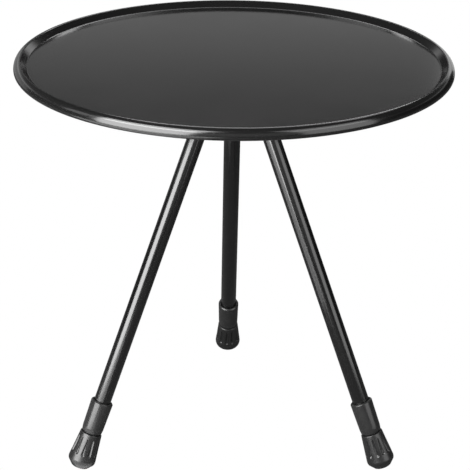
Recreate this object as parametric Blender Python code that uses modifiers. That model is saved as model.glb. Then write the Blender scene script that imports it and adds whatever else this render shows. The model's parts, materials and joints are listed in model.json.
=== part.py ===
"""Folding camping table: a round pressed tray on a tripod of telescopic legs.

Metres, +Z up. The origin is on the ground under the middle of the tray, and the
table's front faces -Y. The legs stand splayed and pushed in, as in normal low use.
"""

import math

import bpy
from mathutils import Matrix, Vector

# Overall sizes
TABLE_HEIGHT = 0.385
TOP_RADIUS = 0.200
SPLAY = math.radians(22.4)
LEGS = (("front_left", 210), ("front_right", 330), ("back", 90))

# Play left between pieces that rest on, sit in or turn in each other
SEAT_GAP = 0.0003
MERGE_DISTANCE = 0.00002
CUT_OVERRUN = 0.0010
SMOOTH_ANGLE = math.radians(35)

# Tray: one pressed sheet whose edge is raised and rolled under
TRAY_SHEET = 0.0008
TRAY_DEPTH = 0.0058
COVE_WIDTH = 0.0069
CREST_RADIUS = 0.0014
CREST_INSET = 0.0058
RIM_WAIST_DROP = 0.0069
RIM_HEIGHT = 0.0107
CURL_WIDTH = 0.0092
TRAY_STEPS = 64

# Mounting plate under the tray, its welded studs and their nuts
PLATE_RADIUS = 0.060
PLATE_THICKNESS = 0.0025
PLATE_STEPS = 36
STUD_COUNT = 4
STUD_INSET = 0.012
STUD_RADIUS = 0.0025
STUD_STEPS = 10
STUD_END = 0.0012
STUD_NUT_RADIUS = 0.0046
STUD_NUT_THICKNESS = 0.0040

# Threaded insert that stands out of the plate and centres the tray on the hub
INSERT_RADIUS = 0.0080
INSERT_FLANGE_RADIUS = 0.0110
INSERT_FLANGE_THICKNESS = 0.0015
SPIGOT_LENGTH = 0.0075
INSERT_STEPS = 20

# Hub: flange, central boss and three forks
FLANGE_RADIUS = 0.030
FLANGE_THICKNESS = 0.0040
FLANGE_EDGE = 0.0008
BOSS_RADIUS = 0.0120
BOSS_LENGTH = 0.0180
HUB_BORE_DEPTH = 0.0100
HUB_STEPS = 30
PIVOT_RADIUS = 0.0200
PIVOT_DROP = 0.0097
EAR_RADIUS = 0.0070
EAR_THICKNESS = 0.0035
ARC_STEPS = 8

# Hinge bolt and nut at the top of each leg
BOLT_RADIUS = 0.0025
BOLT_HEAD_RADIUS = 0.0044
BOLT_HEAD_THICKNESS = 0.0028
BOLT_END = 0.0010
BOLT_STEPS = 10
HINGE_NUT_RADIUS = 0.0046
HINGE_NUT_THICKNESS = 0.0040

# Clamp screw that holds the tray on the hub, with its knob, washer and clip
SCREW_RADIUS = 0.0040
SCREW_STEPS = 12
SCREW_TIP = 0.0008
WASHER_RADIUS = 0.0080
WASHER_THICKNESS = 0.0012
CLIP_RADIUS = 0.0064
CLIP_THICKNESS = 0.0010
KNOB_RADIUS = 0.0100
KNOB_HEIGHT = 0.0160
KNOB_LOBES = 6
KNOB_LOBE_DEPTH = 0.0014
KNOB_EDGE = 0.0010
KNOB_POINTS_PER_LOBE = 6

# Knuckle: eye, heel that meets the flange, shoulder, and shank in the tube
EYE_RADIUS = 0.0068
EYE_WIDTH = 0.0090
HEEL_WIDTH = 0.0063
SHOULDER_DROP = 0.0085
SHOULDER_THICKNESS = 0.0030
SHOULDER_EDGE = 0.0006
SHANK_LENGTH = 0.0300
RIVET_RADIUS = 0.0015
RIVET_HEAD_RADIUS = 0.0026
RIVET_HEAD_THICKNESS = 0.0009
RIVET_DROP = 0.0150
RIVET_STEPS = 8

# Leg tubes
TUBE_RADIUS = 0.0080
TUBE_WALL = 0.0010
INNER_TUBE_RADIUS = 0.0063
INNER_TUBE_WALL = 0.0009
TUBE_STEPS = 20
BUSH_HEAD_LENGTH = 0.0080
BUSH_SHANK_LENGTH = 0.0120
BUSH_EDGE = 0.0008
BUSH_ROOM = 0.0050

# Twist lock: sleeve on the outer tube, jaw on the inner tube, collar over both
COLLAR_LENGTH = 0.0327
COLLAR_TOP_RADIUS = 0.0106
COLLAR_LOW_RADIUS = 0.0101
COLLAR_CHAMFER = 0.0010
COLLAR_TAPER_LENGTH = 0.0040
COLLAR_TAPER_RADIUS = 0.0096
COLLAR_NECK_LENGTH = 0.0010
COLLAR_NECK_RADIUS = 0.0086
SLEEVE_SINK = 0.0012
SLEEVE_LENGTH = 0.0205
SLEEVE_WALL = 0.0007
SLEEVE_LIP = 0.0015
JAW_LENGTH = 0.0075
JAW_END_RADIUS = 0.0078
JAW_SLOT = 0.0010

# Rubber foot and the steel washer at the bottom of its socket
FOOT_LENGTH = 0.0362
FOOT_TOP_RADIUS = 0.0104
FOOT_LIP_EDGE = 0.0008
FOOT_RADIUS = 0.0132
FOOT_EDGE_RADIUS = 0.0090
FOOT_SOCKET_DEPTH = 0.0240
FOOT_WASHER_THICKNESS = 0.0010
FOOT_STEPS = 24
FOOT_EDGE_STEPS = 3
GROOVE_COUNT = 12
GROOVE_TOP_SHARE = 0.16
GROOVE_END_SHARE = 0.70
GROOVE_TOP_RADIUS = 0.0007
GROOVE_END_RADIUS = 0.0016
GROOVE_DEPTH = 0.0009
GROOVE_STEPS = 6

# The studs stand a fixed way in from the plate's edge
STUD_CIRCLE_RADIUS = PLATE_RADIUS - STUD_INSET

# Heights of the top's pieces, from the tray's floor down to the leg pivots
FLOOR_TOP = TABLE_HEIGHT - TRAY_DEPTH
FLOOR_UNDERSIDE = FLOOR_TOP - TRAY_SHEET
PLATE_TOP = FLOOR_UNDERSIDE - SEAT_GAP
PLATE_BOTTOM = PLATE_TOP - PLATE_THICKNESS
HUB_TOP = PLATE_BOTTOM - SEAT_GAP
FLANGE_BOTTOM = HUB_TOP - FLANGE_THICKNESS
BOSS_BOTTOM = HUB_TOP - BOSS_LENGTH
PIVOT_HEIGHT = FLANGE_BOTTOM - PIVOT_DROP

# The lowest point of a splayed foot is on its rounded edge, towards the middle of
# the table, and the leg is as long as it takes for that point to touch the ground
SOLE_RADIUS = FOOT_RADIUS - FOOT_EDGE_RADIUS
EDGE_DROP = PIVOT_HEIGHT - FOOT_EDGE_RADIUS - SOLE_RADIUS * math.sin(SPLAY)
LEG_LENGTH = EDGE_DROP / math.cos(SPLAY) + FOOT_EDGE_RADIUS

# Places along a leg, measured from its pivot along the tube, downwards negative
FOOT_BOTTOM = -LEG_LENGTH
FOOT_TOP = FOOT_BOTTOM + FOOT_LENGTH
COLLAR_BOTTOM = FOOT_TOP + SEAT_GAP
COLLAR_TOP = COLLAR_BOTTOM + COLLAR_LENGTH
SHOULDER_TOP = -SHOULDER_DROP
SHOULDER_BOTTOM = SHOULDER_TOP - SHOULDER_THICKNESS
TUBE_TOP = SHOULDER_BOTTOM - SEAT_GAP
TUBE_BORE = TUBE_RADIUS - TUBE_WALL
SHANK_BOTTOM = SHOULDER_BOTTOM - SHANK_LENGTH
RIVET_HEIGHT = TUBE_TOP - RIVET_DROP
SLEEVE_TOP = COLLAR_TOP - SLEEVE_SINK
SLEEVE_BOTTOM = SLEEVE_TOP - SLEEVE_LENGTH
TUBE_BOTTOM = SLEEVE_BOTTOM + SLEEVE_LIP + SEAT_GAP
SLEEVE_BORE = TUBE_RADIUS + SEAT_GAP
SLEEVE_RADIUS = SLEEVE_BORE + SLEEVE_WALL
COLLAR_BORE = SLEEVE_RADIUS + SEAT_GAP
INNER_TUBE_FIT = INNER_TUBE_RADIUS + SEAT_GAP
INNER_TUBE_BORE = INNER_TUBE_RADIUS - INNER_TUBE_WALL
BUSH_TOP = SHANK_BOTTOM - BUSH_ROOM
INNER_TUBE_TOP = BUSH_TOP - BUSH_HEAD_LENGTH - SEAT_GAP
SOCKET_BOTTOM = FOOT_TOP - FOOT_SOCKET_DEPTH
FOOT_WASHER_TOP = SOCKET_BOTTOM + SEAT_GAP + FOOT_WASHER_THICKNESS
INNER_TUBE_BOTTOM = FOOT_WASHER_TOP + SEAT_GAP
JAW_TOP = SLEEVE_BOTTOM - SEAT_GAP
JAW_BOTTOM = JAW_TOP - JAW_LENGTH


def start_scene():
    """Empty the scene and make one collection for the table and one for its cutters."""
    for old in list(bpy.data.objects):
        bpy.data.objects.remove(old)
    collections = []
    for name in ("folding_camping_table", "cutters"):
        collection = bpy.data.collections.new(name)
        bpy.context.scene.collection.children.link(collection)
        collections.append(collection)
    return collections


def finish(name, colour, roughness, metallic):
    """A Principled material with the piece's own colour and sheen."""
    material = bpy.data.materials.new(name)
    material.use_nodes = True
    shader = material.node_tree.nodes["Principled BSDF"]
    shader.inputs["Base Color"].default_value = (*colour, 1.0)
    shader.inputs["Roughness"].default_value = roughness
    shader.inputs["Metallic"].default_value = metallic
    material.diffuse_color = (*colour, 1.0)
    return material


table, cutters = start_scene()
TRAY_PAINT = finish("tray_powder_coat", (0.045, 0.045, 0.046), 0.45, 0.0)
TUBE_BLACK = finish("gloss_black_tube", (0.012, 0.012, 0.012), 0.25, 0.6)
LOCK_PLASTIC = finish("collar_plastic", (0.055, 0.055, 0.056), 0.45, 0.0)
FOOT_RUBBER = finish("foot_rubber", (0.040, 0.040, 0.040), 0.70, 0.0)
HUB_METAL = finish("hub_casting", (0.030, 0.030, 0.031), 0.50, 0.3)
INNER_METAL = finish("inner_tube_metal", (0.55, 0.55, 0.56), 0.35, 1.0)
ZINC = finish("zinc_plate", (0.60, 0.60, 0.58), 0.40, 1.0)
BUSH_PLASTIC = finish("bush_plastic", (0.10, 0.10, 0.10), 0.50, 0.0)


def add_object(name, data, material=None, parent=None, collection=table):
    """Put one object in the scene, under its parent if it has one."""
    piece = bpy.data.objects.new(name, data)
    collection.objects.link(piece)
    piece.parent = parent
    if material is not None:
        data.materials.append(material)
    return piece


def settle(piece):
    """Turn a piece's curve or modifiers into a plain mesh, shaded smooth on its curves."""
    bpy.context.view_layer.update()
    evaluated = piece.evaluated_get(bpy.context.evaluated_depsgraph_get())
    mesh = bpy.data.meshes.new_from_object(evaluated)
    mesh.name = piece.name
    if piece.type == "CURVE":
        name = piece.name
        solid = bpy.data.objects.new(name, mesh)
        piece.users_collection[0].objects.link(solid)
        solid.parent = piece.parent
        solid.matrix_local = piece.matrix_local
        bpy.data.objects.remove(piece)
        solid.name = name
        weld = solid.modifiers.new("weld_caps", "WELD")
        weld.merge_threshold = MERGE_DISTANCE
        return settle(solid)
    piece.modifiers.clear()
    piece.data = mesh
    mesh.shade_smooth()
    mesh.set_sharp_from_angle(angle=SMOOTH_ANGLE)
    return piece


def copy_of(piece, name, parent):
    """Another of the same piece, sharing its mesh, under another parent."""
    twin = bpy.data.objects.new(name, piece.data)
    table.objects.link(twin)
    twin.parent = parent
    twin.matrix_local = piece.matrix_local
    return twin


def turned(name, profile, steps, material, parent=None, ring=False, collection=table):
    """A lathe shape: (radius, height) points that run down its outer side, about Z."""
    mesh = bpy.data.meshes.new(name)
    edges = [(point, point + 1) for point in range(len(profile) - 1)]
    if ring:
        edges.append((len(profile) - 1, 0))
    mesh.from_pydata([(radius, 0, height) for radius, height in profile], edges, [])
    piece = add_object(name, mesh, material, parent, collection)
    screw = piece.modifiers.new("turn", "SCREW")
    screw.axis = "Z"
    screw.angle = math.tau
    screw.steps = steps
    screw.render_steps = steps
    screw.use_merge_vertices = True
    screw.merge_threshold = MERGE_DISTANCE
    return settle(piece)


def arc(centre, radii, start, end, steps):
    """Points on an elliptical arc, with its angles in degrees and both ends included."""
    points = []
    for step in range(steps + 1):
        angle = math.radians(start + (end - start) * step / steps)
        across = centre[0] + radii[0] * math.cos(angle)
        up = centre[1] + radii[1] * math.sin(angle)
        points.append((across, up))
    return points


def circle(centre, radius, steps):
    """A closed ring of points; a hexagon is one with six steps."""
    return arc(centre, (radius, radius), 0, 360, steps)[:-1]


def flat_shape(name, outlines, thickness, material, parent=None, edge=0, collection=table):
    """A flat outline with holes, thickened both ways from its own XY plane."""
    curve = bpy.data.curves.new(name, "CURVE")
    curve.dimensions = "2D"
    curve.fill_mode = "BOTH"
    curve.extrude = thickness / 2 - edge
    curve.bevel_depth = edge
    curve.bevel_resolution = 0
    for outline in outlines:
        spline = curve.splines.new("POLY")
        spline.points.add(len(outline) - 1)
        spline.use_cyclic_u = True
        for point, (across, up) in zip(spline.points, outline):
            point.co = (across, up, 0, 1)
    return add_object(name, curve, material, parent, collection)


def join_copies(name, source, places, material=None, collection=table):
    """One object that holds a separate solid of the source at each place."""
    mesh = bpy.data.meshes.new(name)
    points = []
    faces = []
    for place in places:
        first = len(points)
        for vertex in source.data.vertices:
            points.append(place @ vertex.co)
        for face in source.data.polygons:
            faces.append([first + corner for corner in face.vertices])
    mesh.from_pydata(points, [], faces)
    group = add_object(name, mesh, material, None, collection)
    mesh.shade_smooth()
    mesh.set_sharp_from_angle(angle=SMOOTH_ANGLE)
    bpy.data.objects.remove(source)
    return group


def combine(piece, tool, operation, solver="EXACT"):
    """Join the tool to the piece or cut it away, and leave the tool as a cutter."""
    boolean = piece.modifiers.new(operation.lower(), "BOOLEAN")
    boolean.operation = operation
    boolean.solver = solver
    boolean.object = tool
    tool.display_type = "WIRE"
    tool.hide_render = True
    return settle(piece)


def upright(about_z, across, height):
    """Stands a flat outline up: its X runs outwards along a spoke, its Y runs up."""
    turn = Matrix.Rotation(about_z, 4, "Z")
    slide = Matrix.Translation(Vector((0, across, height)))
    return turn @ slide @ Matrix.Rotation(math.pi / 2, 4, "X")


def build_tray():
    """The sheet's upper face from the middle out, round the rim and up inside its curl."""
    turn = 2 * math.atan2(TRAY_DEPTH, COVE_WIDTH)
    sweep = COVE_WIDTH / math.sin(turn)
    cove_radius = sweep - CREST_RADIUS
    crest_r = TOP_RADIUS - CREST_INSET
    floor_r = crest_r - COVE_WIDTH
    waist = TABLE_HEIGHT - RIM_WAIST_DROP
    cove = arc((floor_r, FLOOR_TOP + cove_radius), (cove_radius, cove_radius),
               -90, math.degrees(turn) - 90, 3)
    crest = arc((crest_r, TABLE_HEIGHT - CREST_RADIUS), (CREST_RADIUS, CREST_RADIUS),
                90 + math.degrees(turn), 90, 2)
    shoulder = arc((crest_r, waist), (CREST_INSET, RIM_WAIST_DROP), 90, 0, 4)
    curl_r = CURL_WIDTH / 2
    curl = arc((TOP_RADIUS - curl_r, waist), (curl_r, RIM_HEIGHT - RIM_WAIST_DROP), 0, -180, 5)
    profile = [(0, FLOOR_TOP)] + cove + crest[1:] + shoulder[1:] + curl[1:]
    tray = turned("tray_top", profile, TRAY_STEPS, TRAY_PAINT)
    wall = tray.modifiers.new("sheet", "SOLIDIFY")
    wall.thickness = TRAY_SHEET
    wall.offset = -1
    wall.use_even_offset = True
    settle(tray)


def build_mounting():
    """The plate, the studs welded under the tray, their nuts and the threaded insert."""
    stud_places = circle((0, 0), STUD_CIRCLE_RADIUS, STUD_COUNT)
    holes = [circle(place, STUD_RADIUS + SEAT_GAP, STUD_STEPS) for place in stud_places]
    rim = circle((0, 0), PLATE_RADIUS, PLATE_STEPS)
    middle = circle((0, 0), INSERT_RADIUS + SEAT_GAP, INSERT_STEPS)
    plate = flat_shape("mounting_plate", [rim, middle] + holes, PLATE_THICKNESS, HUB_METAL)
    plate.location.z = (PLATE_TOP + PLATE_BOTTOM) / 2
    settle(plate)

    nut_top = PLATE_BOTTOM - SEAT_GAP
    nut_bottom = nut_top - STUD_NUT_THICKNESS
    stud = turned("stud", [(0, PLATE_TOP), (STUD_RADIUS, PLATE_TOP),
                           (STUD_RADIUS, nut_bottom - STUD_END), (0, nut_bottom - STUD_END)],
                  STUD_STEPS, ZINC, collection=cutters)
    nut = flat_shape("nut", [circle((0, 0), STUD_NUT_RADIUS, 6),
                             circle((0, 0), STUD_RADIUS + SEAT_GAP, STUD_STEPS)],
                     STUD_NUT_THICKNESS, ZINC, collection=cutters)
    nut.location.z = (nut_top + nut_bottom) / 2
    nut = settle(nut)
    for number, (x, y) in enumerate(stud_places, start=1):
        for source, name in ((stud, "weld_stud_"), (nut, "stud_nut_")):
            twin = copy_of(source, name + str(number), None)
            twin.location.x = x
            twin.location.y = y
    bpy.data.objects.remove(stud)
    bpy.data.objects.remove(nut)

    bore = SCREW_RADIUS + SEAT_GAP
    flange_top = PLATE_BOTTOM - SEAT_GAP
    flange_bottom = flange_top - INSERT_FLANGE_THICKNESS
    spigot_bottom = PLATE_BOTTOM - SPIGOT_LENGTH
    profile = [(bore, PLATE_TOP), (INSERT_RADIUS, PLATE_TOP), (INSERT_RADIUS, flange_top),
               (INSERT_FLANGE_RADIUS, flange_top), (INSERT_FLANGE_RADIUS, flange_bottom),
               (INSERT_RADIUS, flange_bottom), (INSERT_RADIUS, spigot_bottom),
               (bore, spigot_bottom)]
    turned("threaded_insert", profile, INSERT_STEPS, ZINC, ring=True)


def build_hub():
    """The flange and boss turned as one, with two ears for each leg joined on."""
    bore = SCREW_RADIUS + SEAT_GAP
    spigot_bore = INSERT_RADIUS + SEAT_GAP
    flange_bore = INSERT_FLANGE_RADIUS + SEAT_GAP
    step = PLATE_BOTTOM - SEAT_GAP - INSERT_FLANGE_THICKNESS - SEAT_GAP
    web_top = HUB_TOP - HUB_BORE_DEPTH
    profile = [(bore, web_top), (spigot_bore, web_top), (spigot_bore, step),
               (flange_bore, step), (flange_bore, HUB_TOP), (FLANGE_RADIUS, HUB_TOP),
               (FLANGE_RADIUS, FLANGE_BOTTOM + FLANGE_EDGE),
               (FLANGE_RADIUS - FLANGE_EDGE, FLANGE_BOTTOM), (BOSS_RADIUS, FLANGE_BOTTOM),
               (BOSS_RADIUS, BOSS_BOTTOM), (bore, BOSS_BOTTOM)]
    hub = turned("hub", profile, HUB_STEPS, HUB_METAL, ring=True)

    ear_root = (BOSS_RADIUS + spigot_bore) / 2
    ear_top = (HUB_TOP + FLANGE_BOTTOM) / 2
    outline = [(ear_root, PIVOT_HEIGHT), (ear_root, ear_top),
               (PIVOT_RADIUS + EAR_RADIUS, ear_top)]
    outline += arc((PIVOT_RADIUS, PIVOT_HEIGHT), (EAR_RADIUS, EAR_RADIUS), 0, -180, ARC_STEPS)
    pin_hole = circle((PIVOT_RADIUS, PIVOT_HEIGHT), BOLT_RADIUS + SEAT_GAP, BOLT_STEPS)
    ear = settle(flat_shape("ear", [outline, pin_hole], EAR_THICKNESS, HUB_METAL))
    across = EYE_WIDTH / 2 + SEAT_GAP + EAR_THICKNESS / 2
    places = []
    for _, azimuth in LEGS:
        for side in (-across, across):
            places.append(upright(math.radians(azimuth), side, 0))
    ears = join_copies("ears", ear, places, HUB_METAL, cutters)
    combine(hub, ears, "UNION", solver="MANIFOLD")


def build_clamp():
    """The captive screw, its washer and clip, and the knob that turns it."""
    washer_top = BOSS_BOTTOM - SEAT_GAP
    knob_top = washer_top - WASHER_THICKNESS - SEAT_GAP
    knob_bottom = knob_top - KNOB_HEIGHT
    screw_top = PLATE_TOP - SCREW_TIP
    profile = [(0, screw_top), (SCREW_RADIUS - SCREW_TIP, screw_top),
               (SCREW_RADIUS, screw_top - SCREW_TIP), (SCREW_RADIUS, knob_bottom),
               (0, knob_bottom)]
    turned("clamp_screw", profile, SCREW_STEPS, ZINC)

    hole = circle((0, 0), SCREW_RADIUS + SEAT_GAP, SCREW_STEPS)
    washer = flat_shape("screw_washer", [circle((0, 0), WASHER_RADIUS, INSERT_STEPS), hole],
                        WASHER_THICKNESS, ZINC)
    washer.location.z = washer_top - WASHER_THICKNESS / 2
    settle(washer)

    clip = flat_shape("screw_clip", [circle((0, 0), CLIP_RADIUS, INSERT_STEPS), hole],
                      CLIP_THICKNESS, ZINC)
    clip.location.z = HUB_TOP - HUB_BORE_DEPTH + SEAT_GAP + CLIP_THICKNESS / 2
    settle(clip)

    lobes = []
    count = KNOB_LOBES * KNOB_POINTS_PER_LOBE
    for step in range(count):
        angle = math.tau * step / count
        dip = KNOB_LOBE_DEPTH * (1 - math.cos(KNOB_LOBES * angle)) / 2
        reach = KNOB_RADIUS - KNOB_EDGE - dip
        lobes.append((reach * math.cos(angle), reach * math.sin(angle)))
    knob_hole = circle((0, 0), SCREW_RADIUS + SEAT_GAP + KNOB_EDGE, SCREW_STEPS)
    knob = flat_shape("clamp_knob", [lobes, knob_hole], KNOB_HEIGHT, LOCK_PLASTIC, edge=KNOB_EDGE)
    knob.location.z = (knob_top + knob_bottom) / 2
    settle(knob)


def build_hinge_bolts():
    """A bolt through each fork and its nut, both held still in the hub."""
    grip = EYE_WIDTH / 2 + SEAT_GAP + EAR_THICKNESS + SEAT_GAP
    head = grip + BOLT_HEAD_THICKNESS
    tip = -grip - HINGE_NUT_THICKNESS - BOLT_END
    profile = [(0, head), (BOLT_HEAD_RADIUS, head), (BOLT_HEAD_RADIUS, grip),
               (BOLT_RADIUS, grip), (BOLT_RADIUS, tip), (0, tip)]
    bolt = turned("hinge_bolt", profile, BOLT_STEPS, ZINC, collection=cutters)
    nut = flat_shape("hinge_nut", [circle((0, 0), HINGE_NUT_RADIUS, 6),
                                   circle((0, 0), BOLT_RADIUS + SEAT_GAP, BOLT_STEPS)],
                     HINGE_NUT_THICKNESS, ZINC, collection=cutters)
    nut = settle(nut)
    pivot = Matrix.Translation(Vector((PIVOT_RADIUS, 0, PIVOT_HEIGHT)))
    under = Matrix.Translation(Vector((0, 0, -grip - HINGE_NUT_THICKNESS / 2)))
    for leg, azimuth in LEGS:
        spoke = Matrix.Rotation(math.radians(azimuth), 4, "Z") @ pivot @ upright(0, 0, 0)
        copy_of(bolt, "hinge_bolt_" + leg, None).matrix_local = spoke
        copy_of(nut, "hinge_nut_" + leg, None).matrix_local = spoke @ under
    bpy.data.objects.remove(bolt)
    bpy.data.objects.remove(nut)


def build_knuckle(parent, rivet_hole):
    """The eye with its stop heel, joined to the shoulder and the shank in the tube."""
    reach = PIVOT_DROP - SEAT_GAP
    heel_in = (reach * math.sin(SPLAY), reach * math.cos(SPLAY))
    heel_out = (heel_in[0] + HEEL_WIDTH * math.cos(SPLAY),
                heel_in[1] - HEEL_WIDTH * math.sin(SPLAY))
    tangent = 90 - math.degrees(SPLAY) + math.degrees(math.acos(EYE_RADIUS / reach))
    root = (SHOULDER_TOP + SHOULDER_BOTTOM) / 2
    outline = [(-EYE_RADIUS, root)]
    outline += arc((0, 0), (EYE_RADIUS, EYE_RADIUS), 180, tangent, ARC_STEPS // 2)
    outline += [heel_in, heel_out, (EYE_RADIUS, 0), (EYE_RADIUS, root)]
    pin_hole = circle((0, 0), BOLT_RADIUS + SEAT_GAP, BOLT_STEPS)
    eye = settle(flat_shape("eye", [outline, pin_hole], EYE_WIDTH, HUB_METAL))
    eye = join_copies("knuckle_eye", eye, [upright(0, 0, 0)], HUB_METAL, cutters)
    eye.parent = parent

    shank = TUBE_BORE - SEAT_GAP
    profile = [(0, SHOULDER_TOP), (TUBE_RADIUS - SHOULDER_EDGE, SHOULDER_TOP),
               (TUBE_RADIUS, SHOULDER_TOP - SHOULDER_EDGE), (TUBE_RADIUS, SHOULDER_BOTTOM),
               (shank, SHOULDER_BOTTOM), (shank, SHANK_BOTTOM), (0, SHANK_BOTTOM)]
    knuckle = turned("knuckle", profile, TUBE_STEPS, HUB_METAL, parent)
    combine(knuckle, eye, "UNION")
    return combine(knuckle, rivet_hole, "DIFFERENCE")


def build_rivet_hole(parent):
    """The cutter for the rivet's hole, square across the leg in the knuckle's shank."""
    radius = RIVET_RADIUS + SEAT_GAP
    reach = TUBE_RADIUS + CUT_OVERRUN
    bar = turned("bar", [(0, reach), (radius, reach), (radius, -reach), (0, -reach)],
                 RIVET_STEPS, None)
    hole = join_copies("rivet_hole", bar, [upright(0, 0, RIVET_HEIGHT)], None, cutters)
    hole.parent = parent
    return hole


def build_rivet(parent):
    """A rivet with a low head on each side of the tube."""
    under = TUBE_RADIUS + SEAT_GAP
    crown = under + RIVET_HEAD_THICKNESS
    half = [(RIVET_HEAD_RADIUS / 2, crown), (RIVET_HEAD_RADIUS, under), (RIVET_RADIUS, under)]
    profile = [(0, crown)] + half
    profile += [(radius, -height) for radius, height in reversed(half)] + [(0, -crown)]
    bar = turned("bar", profile, RIVET_STEPS, ZINC)
    rivet = join_copies("rivet", bar, [upright(0, 0, RIVET_HEIGHT)], ZINC)
    rivet.parent = parent
    return rivet


def build_tubes(parent, rivet_hole):
    """The outer tube and the inner tube that slides in it, with its guide bush."""
    profile = [(TUBE_BORE, TUBE_TOP), (TUBE_RADIUS, TUBE_TOP), (TUBE_RADIUS, TUBE_BOTTOM),
               (TUBE_BORE, TUBE_BOTTOM)]
    outer = turned("outer_tube", profile, TUBE_STEPS, TUBE_BLACK, parent, ring=True)
    combine(outer, rivet_hole, "DIFFERENCE")

    profile = [(INNER_TUBE_BORE, INNER_TUBE_TOP), (INNER_TUBE_RADIUS, INNER_TUBE_TOP),
               (INNER_TUBE_RADIUS, INNER_TUBE_BOTTOM), (INNER_TUBE_BORE, INNER_TUBE_BOTTOM)]
    inner = turned("inner_tube", profile, TUBE_STEPS, INNER_METAL, parent, ring=True)

    head = TUBE_BORE - SEAT_GAP
    shank = INNER_TUBE_BORE - SEAT_GAP
    head_bottom = BUSH_TOP - BUSH_HEAD_LENGTH
    shank_bottom = head_bottom - BUSH_SHANK_LENGTH
    profile = [(0, BUSH_TOP), (head - BUSH_EDGE, BUSH_TOP), (head, BUSH_TOP - BUSH_EDGE),
               (head, head_bottom), (shank, head_bottom), (shank, shank_bottom),
               (0, shank_bottom)]
    bush = turned("guide_bush", profile, TUBE_STEPS, BUSH_PLASTIC, parent)
    return outer, inner, bush


def build_twist_lock(parent):
    """The sleeve, the split jaw that its collar squeezes on the inner tube, and the collar."""
    lip_top = SLEEVE_BOTTOM + SLEEVE_LIP
    profile = [(SLEEVE_BORE, SLEEVE_TOP), (SLEEVE_RADIUS, SLEEVE_TOP),
               (SLEEVE_RADIUS, SLEEVE_BOTTOM), (INNER_TUBE_FIT, SLEEVE_BOTTOM),
               (INNER_TUBE_FIT, lip_top), (SLEEVE_BORE, lip_top)]
    sleeve = turned("lock_sleeve", profile, TUBE_STEPS, LOCK_PLASTIC, parent, ring=True)

    profile = [(INNER_TUBE_FIT, JAW_TOP), (SLEEVE_RADIUS, JAW_TOP),
               (JAW_END_RADIUS, JAW_BOTTOM), (INNER_TUBE_FIT, JAW_BOTTOM)]
    jaw = turned("lock_jaw", profile, TUBE_STEPS, BUSH_PLASTIC, parent, ring=True)
    bpy.ops.mesh.primitive_cube_add(size=1)
    slot = bpy.context.object
    slot.name = "jaw_slot"
    for collection in list(slot.users_collection):
        collection.objects.unlink(slot)
    cutters.objects.link(slot)
    depth = JAW_LENGTH + 2 * CUT_OVERRUN
    slot.data.transform(Matrix.Diagonal((COLLAR_BORE, JAW_SLOT, depth, 1)))
    slot.parent = parent
    slot.location = (COLLAR_BORE / 2, 0, (JAW_TOP + JAW_BOTTOM) / 2)
    combine(jaw, slot, "DIFFERENCE")

    neck_top = COLLAR_BOTTOM + COLLAR_NECK_LENGTH
    profile = [(COLLAR_BORE, COLLAR_TOP), (COLLAR_TOP_RADIUS - COLLAR_CHAMFER, COLLAR_TOP),
               (COLLAR_TOP_RADIUS, COLLAR_TOP - COLLAR_CHAMFER),
               (COLLAR_LOW_RADIUS, neck_top + COLLAR_TAPER_LENGTH),
               (COLLAR_TAPER_RADIUS, neck_top), (COLLAR_NECK_RADIUS, neck_top),
               (COLLAR_NECK_RADIUS, COLLAR_BOTTOM), (INNER_TUBE_FIT, COLLAR_BOTTOM),
               (INNER_TUBE_FIT, JAW_BOTTOM - SEAT_GAP),
               (JAW_END_RADIUS + SEAT_GAP, JAW_BOTTOM - SEAT_GAP), (COLLAR_BORE, JAW_TOP)]
    collar = turned("lock_collar", profile, TUBE_STEPS, LOCK_PLASTIC, parent, ring=True)
    return sleeve, jaw, collar


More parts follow.
